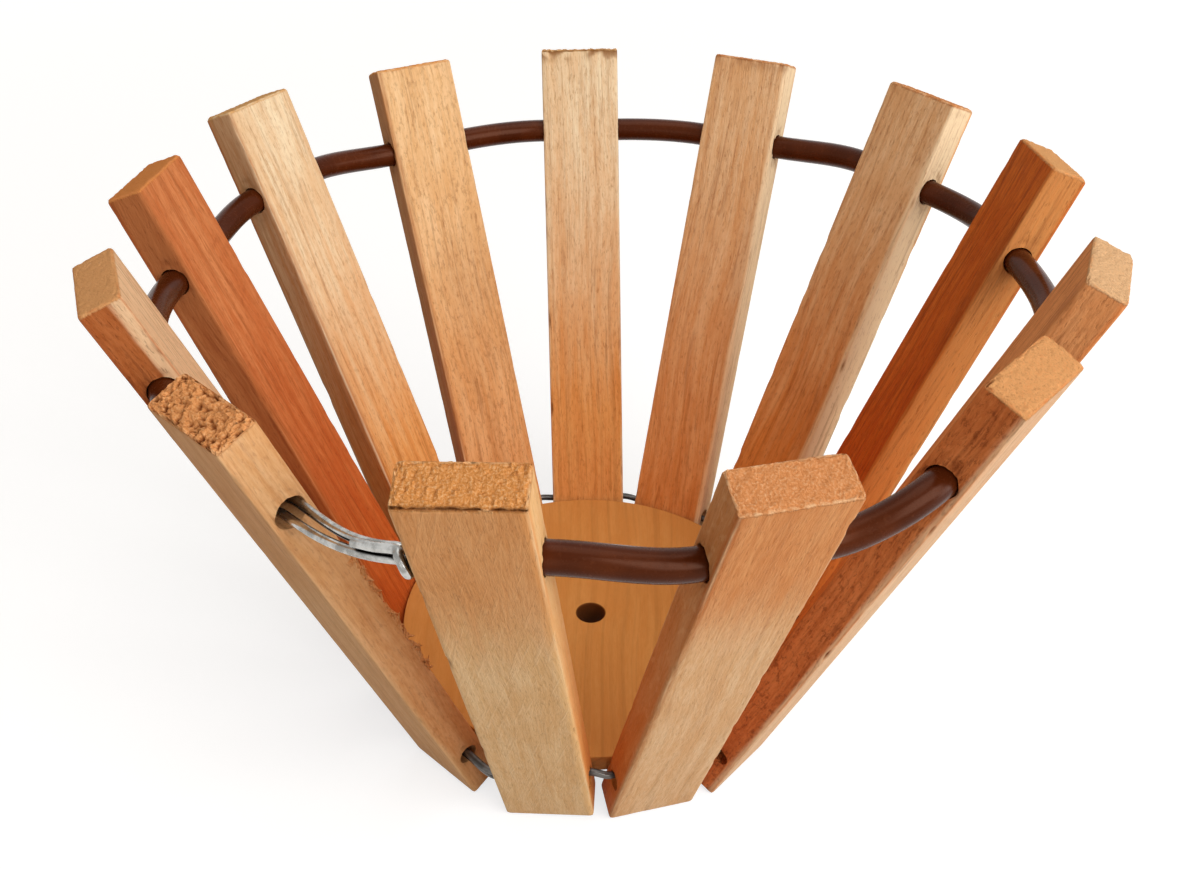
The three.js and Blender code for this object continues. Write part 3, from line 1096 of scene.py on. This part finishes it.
@dataclass
class SandedBase:
    """The round wooden base with its drain hole.

    Attributes:
        drain: The drain hole's radius, in metres.
        edge: How far its edges are sanded round, in metres.
        lean: The bevel of its rim, which fits the slats.
        turns: How many faces it has round.
        corner: The angle from which an edge is sanded round, in radians.
        sharp: The angle from which an edge is shaded as an edge.
        finish: Its finish.
    """

    drain: float = 0.0044
    edge: float = 0.0006
    lean: float = math.radians(21.7)
    turns: int = 144
    corner: float = 0.5
    sharp: float = math.radians(30)
    finish: SandedBoard = SandedBoard()

    def build(self) -> None:
        """Builds and dresses the base."""
        low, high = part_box("base_disc")
        rim = high.x - self.edge * math.tan(self.lean) / 2
        slope = (high.z - low.z) * math.tan(self.lean)
        outline = ((self.drain, low.z), (rim - slope, low.z), (rim, high.z), (self.drain, high.z))
        mesh = bmesh.new()
        verts = [mesh.verts.new((radius, 0, height)) for radius, height in outline]
        edges = [mesh.edges.new((vert, verts[i - 1])) for i, vert in enumerate(verts)]
        bmesh.ops.spin(
            mesh, geom=verts + edges, axis=(0, 0, 1), cent=(0, 0, 0), angle=2 * math.pi,
            steps=self.turns, use_merge=True,
        )
        bmesh.ops.remove_doubles(mesh, verts=mesh.verts, dist=TINY)
        bmesh.ops.recalc_face_normals(mesh, faces=mesh.faces)
        corners = [edge for edge in mesh.edges if edge.calc_face_angle(0) > self.corner]
        bmesh.ops.bevel(
            mesh, geom=corners, offset=self.edge, affect="EDGES", segments=4, profile=0.5, material=-1,
        )
        piece = new_piece("sanded_base", mesh)
        piece.data.materials.append(self.finish.material(self.drain, self.edge))
        piece.data.set_sharp_from_angle(angle=self.sharp)
        seat(piece, "base", "base_disc")


class Route:
    """A strand's way, as a row of cubic curves."""

    STEPS = 14  # along each curve
    ROUND = 6  # the fineness of a tube's round section
    SHARP = math.radians(50)

    def __init__(self, start: Vector) -> None:
        """Starts at a point."""
        self.knots: list[list[Vector]] = [[start.copy(), start.copy(), start.copy()]]

    @property
    def end(self) -> Vector:
        """Where the route has got to."""
        return self.knots[-1][1]

    def curve(self, first: Vector, second: Vector, end: Vector) -> None:
        """Goes on to a point by way of two handles."""
        self.knots[-1][2] = first
        self.knots.append([second, end.copy(), end.copy()])

    def straight(self, end: Vector) -> None:
        """Goes straight on to a point."""
        start = self.end
        self.curve(start.lerp(end, 1 / 3), start.lerp(end, 2 / 3), end)

    def bend(self, leaving: Vector, end: Vector, arriving: Vector) -> None:
        """Goes on to a point in a gentle bend."""
        reach = (end - self.end).length / 3
        self.curve(self.end + leaving * reach, end - arriving * reach, end)

    def through(self, points: list[Vector]) -> None:
        """Goes on through points without a corner."""
        row = [self.end, *points]
        for i in range(len(row) - 1):
            before, after = row[max(i - 1, 0)], row[min(i + 2, len(row) - 1)]
            first = row[i] + (row[i + 1] - before) / 6
            second = row[i + 1] - (after - row[i]) / 6
            self.curve(first, second, row[i + 1])

    def tube(self, name: str, radius: float, closed: bool) -> bpy.types.Object:
        """Makes a round tube along the route.

        Args:
            name: The piece's name.
            radius: The tube's radius, in metres.
            closed: Whether its ends are closed.

        Returns:
            The tube as a mesh piece.
        """
        curve = bpy.data.curves.new(name, "CURVE")
        curve.dimensions = "3D"
        curve.twist_mode = "MINIMUM"
        curve.resolution_u = self.STEPS
        curve.bevel_depth = radius
        curve.bevel_resolution = self.ROUND
        curve.use_fill_caps = closed
        spline = curve.splines.new("BEZIER")
        spline.bezier_points.add(len(self.knots) - 1)
        for point, (left, middle, right) in zip(spline.bezier_points, self.knots):
            point.handle_left_type = point.handle_right_type = "FREE"
            point.co, point.handle_left, point.handle_right = middle, left, right
        strand = bpy.data.objects.new(name + "_route", curve)
        bpy.context.scene.collection.objects.link(strand)
        mesh = final_shape(strand)
        bpy.data.objects.remove(strand)
        bpy.data.curves.remove(curve)
        bmesh.ops.remove_doubles(mesh, verts=mesh.verts, dist=TINY)
        piece = new_piece(name, mesh)
        piece.data.set_sharp_from_angle(angle=self.SHARP)
        return piece


class Hold(Enum):
    """The hole that a strand goes through in each slat."""

    RIM = "rim"
    FOOT = "foot"


@dataclass
class Strung:
    """What is strung through the slats: places in their holes, and ways from one to the next.

    Attributes:
        places: The slats' frames, clockwise from the closing gap.
    """

    places: list[SlatFrame]

    @property
    def first(self) -> SlatFrame:
        """The slat on one side of the closing gap."""
        return self.places[0]

    @property
    def last(self) -> SlatFrame:
        """The slat on its other side."""
        return self.places[-1]

    def spot(self, slat: SlatFrame, hold: Hold, out: float, across: float, up: float = 0.0) -> Vector:
        """Gives a point in a slat's hole.

        Args:
            slat: The slat.
            hold: Which of its holes.
            out: How far from the hole's middle towards the slat's outer face.
            across: How far along the hole from the slat's middle.
            up: How far from the hole's middle along the slat.

        Returns:
            The point, in the pot's axes.
        """
        return slat.place(out, across, getattr(slat, hold.value).height + up)

    def thread(self, route: Route, hold: Hold, out: float, end: Vector) -> None:
        """Takes a route clockwise from the first slat to a point in the last one.

        Args:
            route: The route, which already starts in the first slat.
            hold: The holes that it goes through.
            out: How far to the side of each hole it keeps.
            end: Where it ends, in the last slat.
        """
        for slat, following in zip(self.places, self.places[1:]):
            half = slat.size.y / 2
            route.straight(self.spot(slat, hold, out, -half))
            route.bend(slat.onward, self.spot(following, hold, out, half), following.onward)
        route.straight(end)


@dataclass
class BrownHose(Strung):
    """The plastic hose that spaces the slats at the rim.

    Attributes:
        radius: Its outer radius, in metres.
        wall: How thick its wall is, in metres.
        start_inset: How deep its first end lies in the first slat, in metres.
        end_inset: How deep its last end lies in the last slat, in metres.
        finish: Its finish.
    """

    radius: float = 0.0036
    wall: float = 0.0013
    start_inset: float = 0.012
    end_inset: float = 0.006
    finish: BrownPlastic = BrownPlastic()

    def build(self) -> None:
        """Builds and dresses the hose."""
        route = Route(self.spot(self.first, Hold.RIM, 0, self.first.size.y / 2 - self.start_inset))
        end = self.spot(self.last, Hold.RIM, 0, self.end_inset - self.last.size.y / 2)
        self.thread(route, Hold.RIM, 0, end)
        piece = route.tube("brown_hose", self.radius, closed=False)
        wall = piece.modifiers.new("wall", "SOLIDIFY")
        wall.thickness, wall.offset = self.wall, -1.0
        piece.data.materials.append(self.finish.material())
        seat(piece, "pot", "rim_hose")


@dataclass
class BrightWires(Strung):
    """The two galvanised wires.

    Attributes:
        hose: The hose that the rim wire runs in.
        radius: A wire's radius, in metres.
        clearance: What it leaves to the side of a hole that it is pulled against, in metres.
        strand_gap: Between the rim wire's two strands in the first slat's hole, in metres.
        strand_aside: From the middle of the last slat's hole to the strand that leaves it, in metres.
        hook_gap: Between the strand that is hooked and the hook, in metres.
        hook_depth: Of the hook's bow along the strand, in metres.
        hook_tail: The length of the hook's free end, in metres.
        hook_rest: Degrees round the strand, from its outer side, to where the free end rests on it.
        hook_lead: The same to where the hook's lead to the first slat leaves it.
        hook_points: How many points its bow is drawn through.
        tail: The length of a wire's end that is tucked into a hole, in metres.
        rim_zinc: The rim wire's finish.
        shaded_foot_zinc: The foot wire's finish: zinc like the rim wire's, darker as painted shade.
    """

    hose: BrownHose = field(kw_only=True)
    radius: float = 0.00105
    clearance: float = 0.0003
    strand_gap: float = 0.0016
    strand_aside: float = 0.0012
    hook_gap: float = 0.0006
    hook_depth: float = 0.0025
    hook_tail: float = 0.010
    hook_rest: float = 105.0
    hook_lead: float = -180.0
    hook_points: int = 10
    tail: float = 0.009
    rim_zinc: ZincCoat = ZincCoat("908f8b", "c2c1bd", 0.13)
    # Painted shade: the foot wire's zinc is a darker copy of the rim wire's.
    shaded_foot_zinc: ZincCoat = ZincCoat("4a4744", "66625e", 0.3)

    def build(self) -> None:
        """Builds and dresses both wires."""
        for name, node, route, zinc in (
            ("bright_rim_wire", "rim_wire", self.rim_route(), self.rim_zinc),
            ("shaded_foot_wire", "foot_wire", self.foot_route(), self.shaded_foot_zinc),
        ):
            piece = route.tube(name, self.radius, closed=True)
            piece.data.materials.append(zinc.material(name))
            seat(piece, "pot", node)

    def aside(self, radius: float) -> float:
        """Gives how far from its middle a wire lies in a hole of some radius."""
        return radius - self.radius - self.clearance

    def rim_route(self) -> Route:
        """Leads the rim wire from its hook round the rim, inside the hose, and back through the hook."""
        first, last, face = self.first, self.last, self.first.size.y / 2
        aside = self.aside(first.rim.radius)
        bore = self.aside(self.hose.radius - self.hose.wall)
        beyond = 2 * self.radius + self.strand_gap - aside
        leave = self.spot(last, Hold.RIM, self.strand_aside, -face)
        tail = self.spot(first, Hold.RIM, beyond, face)
        hook = self.hook(leave, tail)
        route = Route(hook[0])
        route.through(hook[1:])
        leaving = (hook[-1] - hook[-2]).normalized()
        route.bend(leaving, self.spot(first, Hold.RIM, -aside, face), first.onward)
        hosed = self.spot(first, Hold.RIM, -bore, face - self.hose.start_inset)
        route.bend(first.onward, hosed, first.onward)
        self.thread(route, Hold.RIM, -bore, self.spot(last, Hold.RIM, -bore, self.hose.end_inset - face))
        route.bend(last.onward, leave, last.onward)
        route.bend(last.onward, tail, first.onward)
        route.bend(first.onward, self.spot(first, Hold.RIM, aside, face - self.tail), first.onward)
        return route

    def hook(self, leave: Vector, tail: Vector) -> list[Vector]:
        """Gives the points of the hook round the strand that leaves the last slat.

        Args:
            leave: Where the strand leaves the last slat.
            tail: Where it goes into the first slat.

        Returns:
            The hook's points, from its free end.
        """
        reach = (tail - leave).length / 3
        handles = (leave + self.last.onward * reach, tail - self.first.onward * reach)
        ways = self.last.matrix.to_3x3()
        bow = 2 * self.radius + self.hook_gap
        start = self.radius + self.clearance

        def beside(degrees: float, away: float) -> Vector:
            """Gives a point beside the strand, at an angle round it and some way along it."""
            share = (start + away) / (3 * reach)
            rest = 1 - share
            strand = rest**3 * leave + share**3 * tail
            strand += 3 * rest**2 * share * handles[0] + 3 * rest * share**2 * handles[1]
            turn = math.radians(degrees)
            return strand + ways @ Vector((bow * math.cos(turn), 0, bow * math.sin(turn)))

        points = [beside(self.hook_rest, self.hook_depth + part * self.hook_tail) for part in (1.0, 0.5)]
        for i in range(self.hook_points + 1):
            share = i / self.hook_points
            degrees = self.hook_rest + share * (self.hook_lead - self.hook_rest)
            points.append(beside(degrees, self.hook_depth * (2 * share - 1) ** 2))
        points.append(beside(self.hook_lead, self.hook_depth + bow))
        return points

    def foot_route(self) -> Route:
        """Leads the foot wire round the feet, with its ends tucked into the slats at the closing gap."""
        first, last, face = self.first, self.last, self.first.size.y / 2
        aside = self.aside(first.foot.radius)
        route = Route(self.spot(last, Hold.FOOT, 0, self.tail - face, aside))
        route.straight(self.spot(last, Hold.FOOT, 0, -face, aside))
        route.bend(last.onward, self.spot(first, Hold.FOOT, 0, face, aside), first.onward)
        self.thread(route, Hold.FOOT, -aside, self.spot(last, Hold.FOOT, 0, -face, -aside))
        route.bend(last.onward, self.spot(first, Hold.FOOT, 0, face, -aside), first.onward)
        route.straight(self.spot(first, Hold.FOOT, 0, face - self.tail, -aside))
        return route


def seen_plainly(graph: Graph) -> Socket:
    """Gives 1 where the camera sees a surface itself, mirrored or through another, and 0 otherwise."""
    rays = graph.add("ShaderNodeLightPath").outputs
    seen = graph.math("ADD", rays["Is Camera Ray"], rays["Is Glossy Ray"])
    return graph.math("ADD", seen, rays["Is Transmission Ray"])


@dataclass(frozen=True)
class PaleFloor:
    """A floor that is white to the camera, most of all far off, and still shaded by the pot.

    Attributes:
        size: Half its side, in metres.
        shade: How pale it is under the lamps.
        white: The colour that it shows to the camera.
        glow: How bright that is near the pot, and how much brighter far off.
        fade: From and to which distance it brightens, in metres.
    """

    size: float = 6.0
    shade: float = 0.4
    white: Color = (0.965, 0.985, 1.0, 1.0)
    glow: tuple[float, float] = (0.74, 0.22)
    fade: tuple[float, float] = (0.3, 1.6)

    def lay(self) -> None:
        """Lays the floor under the pot."""
        mesh = bmesh.new()
        bmesh.ops.create_grid(mesh, x_segments=1, y_segments=1, size=self.size)
        floor = new_piece("floor", mesh)
        material, graph = new_material("white_floor")
        near, more = self.glow
        reach = graph.vector("LENGTH", graph.place())
        glow = graph.scaled(graph.step(reach, *self.fade), more, near)
        inputs = graph.tree.nodes["Principled BSDF"].inputs
        inputs["Base Color"].default_value = (self.shade, self.shade, self.shade, 1)
        inputs["Roughness"].default_value = 0.9
        inputs["Specular IOR Level"].default_value = 0.0
        inputs["Emission Color"].default_value = self.white
        graph.tree.links.new(graph.times(seen_plainly(graph), glow), inputs["Emission Strength"])
        floor.data.materials.append(material)


@dataclass(frozen=True)
class Lamp:
    """A square lamp that faces the pot.

    Attributes:
        name: Its name.
        size: Its side, in metres.
        power: Its power, in watts.
        spot: Where it hangs.
    """

    name: str
    size: float
    power: float
    spot: tuple[float, float, float]

    def hang(self) -> None:
        """Hangs the lamp."""
        lamp = bpy.data.lights.new(self.name, "AREA")
        lamp.size, lamp.energy = self.size, self.power
        spot = Vector(self.spot)
        turn = spot.to_track_quat("Z", "Y").to_matrix().to_4x4()
        holder = bpy.data.objects.new(self.name, lamp)
        holder.matrix_world = Matrix.Translation(spot) @ turn
        bpy.context.scene.collection.objects.link(holder)


@dataclass
class Studio:
    """A pale floor, soft light and the photograph's camera.

    Attributes:
        distance: From the camera to what it looks at, in metres.
        height: The angle from which it looks down.
        roll: How far it is turned about its own view.
        target: What it looks at.
        focal: Its focal length, as a share of the picture's width.
        fill: The faint warm light of the room.
        white: What the camera sees of the room.
        floor: The floor.
        lamps: A large soft lamp to the right, in front and above, and three that fill in.
    """

    distance: float = 0.3565
    height: float = math.radians(34.47)
    roll: float = math.radians(1.05)
    target: tuple[float, float, float] = (0.0016, 0.0, 0.0898)
    focal: float = 1.0414
    fill: Color = (0.34, 0.265, 0.19, 1.0)
    white: Color = (1.0, 1.0, 1.0, 1.0)
    floor: PaleFloor = PaleFloor()
    lamps: tuple[Lamp, ...] = (
        Lamp("softbox", 0.9, 11.7, (0.66, -0.72, 0.75)),
        Lamp("side", 0.6, 3.6, (1.25, -0.3, 0.25)),
        Lamp("overhead", 0.8, 3.6, (0.05, 0.1, 1.25)),
        Lamp("front", 0.8, 1.6, (-0.35, -1.2, 0.3)),
    )

    def build(self) -> None:
        """Sets up the camera, the floor and the light."""
        self.camera()
        self.floor.lay()
        self.room()
        for lamp in self.lamps:
            lamp.hang()
        bpy.context.scene.view_settings.view_transform = "Standard"

    def camera(self) -> None:
        """Puts the camera where the photograph was taken."""
        data = bpy.data.cameras.new("photograph")
        data.sensor_fit, data.sensor_width = "HORIZONTAL", 36.0
        data.lens = data.sensor_width * self.focal
        data.clip_start = 0.01
        back = Vector((0, -math.cos(self.height), math.sin(self.height)))
        level = Vector((1, 0, 0))
        upright = back.cross(level)
        right = level * math.cos(self.roll) + upright * math.sin(self.roll)
        matrix = Matrix((right, back.cross(right), back)).transposed().to_4x4()
        matrix.translation = Vector(self.target) + back * self.distance
        camera = bpy.data.objects.new("photograph", data)
        camera.matrix_world = matrix
        bpy.context.scene.collection.objects.link(camera)
        bpy.context.scene.camera = camera

    def room(self) -> None:
        """Fills the room with faint light, and shows it white to the camera."""
        scene = bpy.context.scene
        scene.world = scene.world or bpy.data.worlds.new("white_room")
        scene.world.use_nodes = True
        graph = Graph(scene.world.node_tree)
        color = graph.mix(seen_plainly(graph), self.fill, self.white)
        graph.tree.links.new(color, graph.tree.nodes["Background"].inputs["Color"])


def main() -> None:
    """Builds the studio and then the pot, piece by piece."""
    logging.basicConfig(level=logging.INFO, format="%(name)s: %(message)s")
    Studio().build()
    slats = Slats()
    slats.build()
    SandedBase().build()
    hose = BrownHose(slats.places)
    hose.build()
    BrightWires(slats.places, hose=hose).build()


if __name__ == "__main__":
    main()
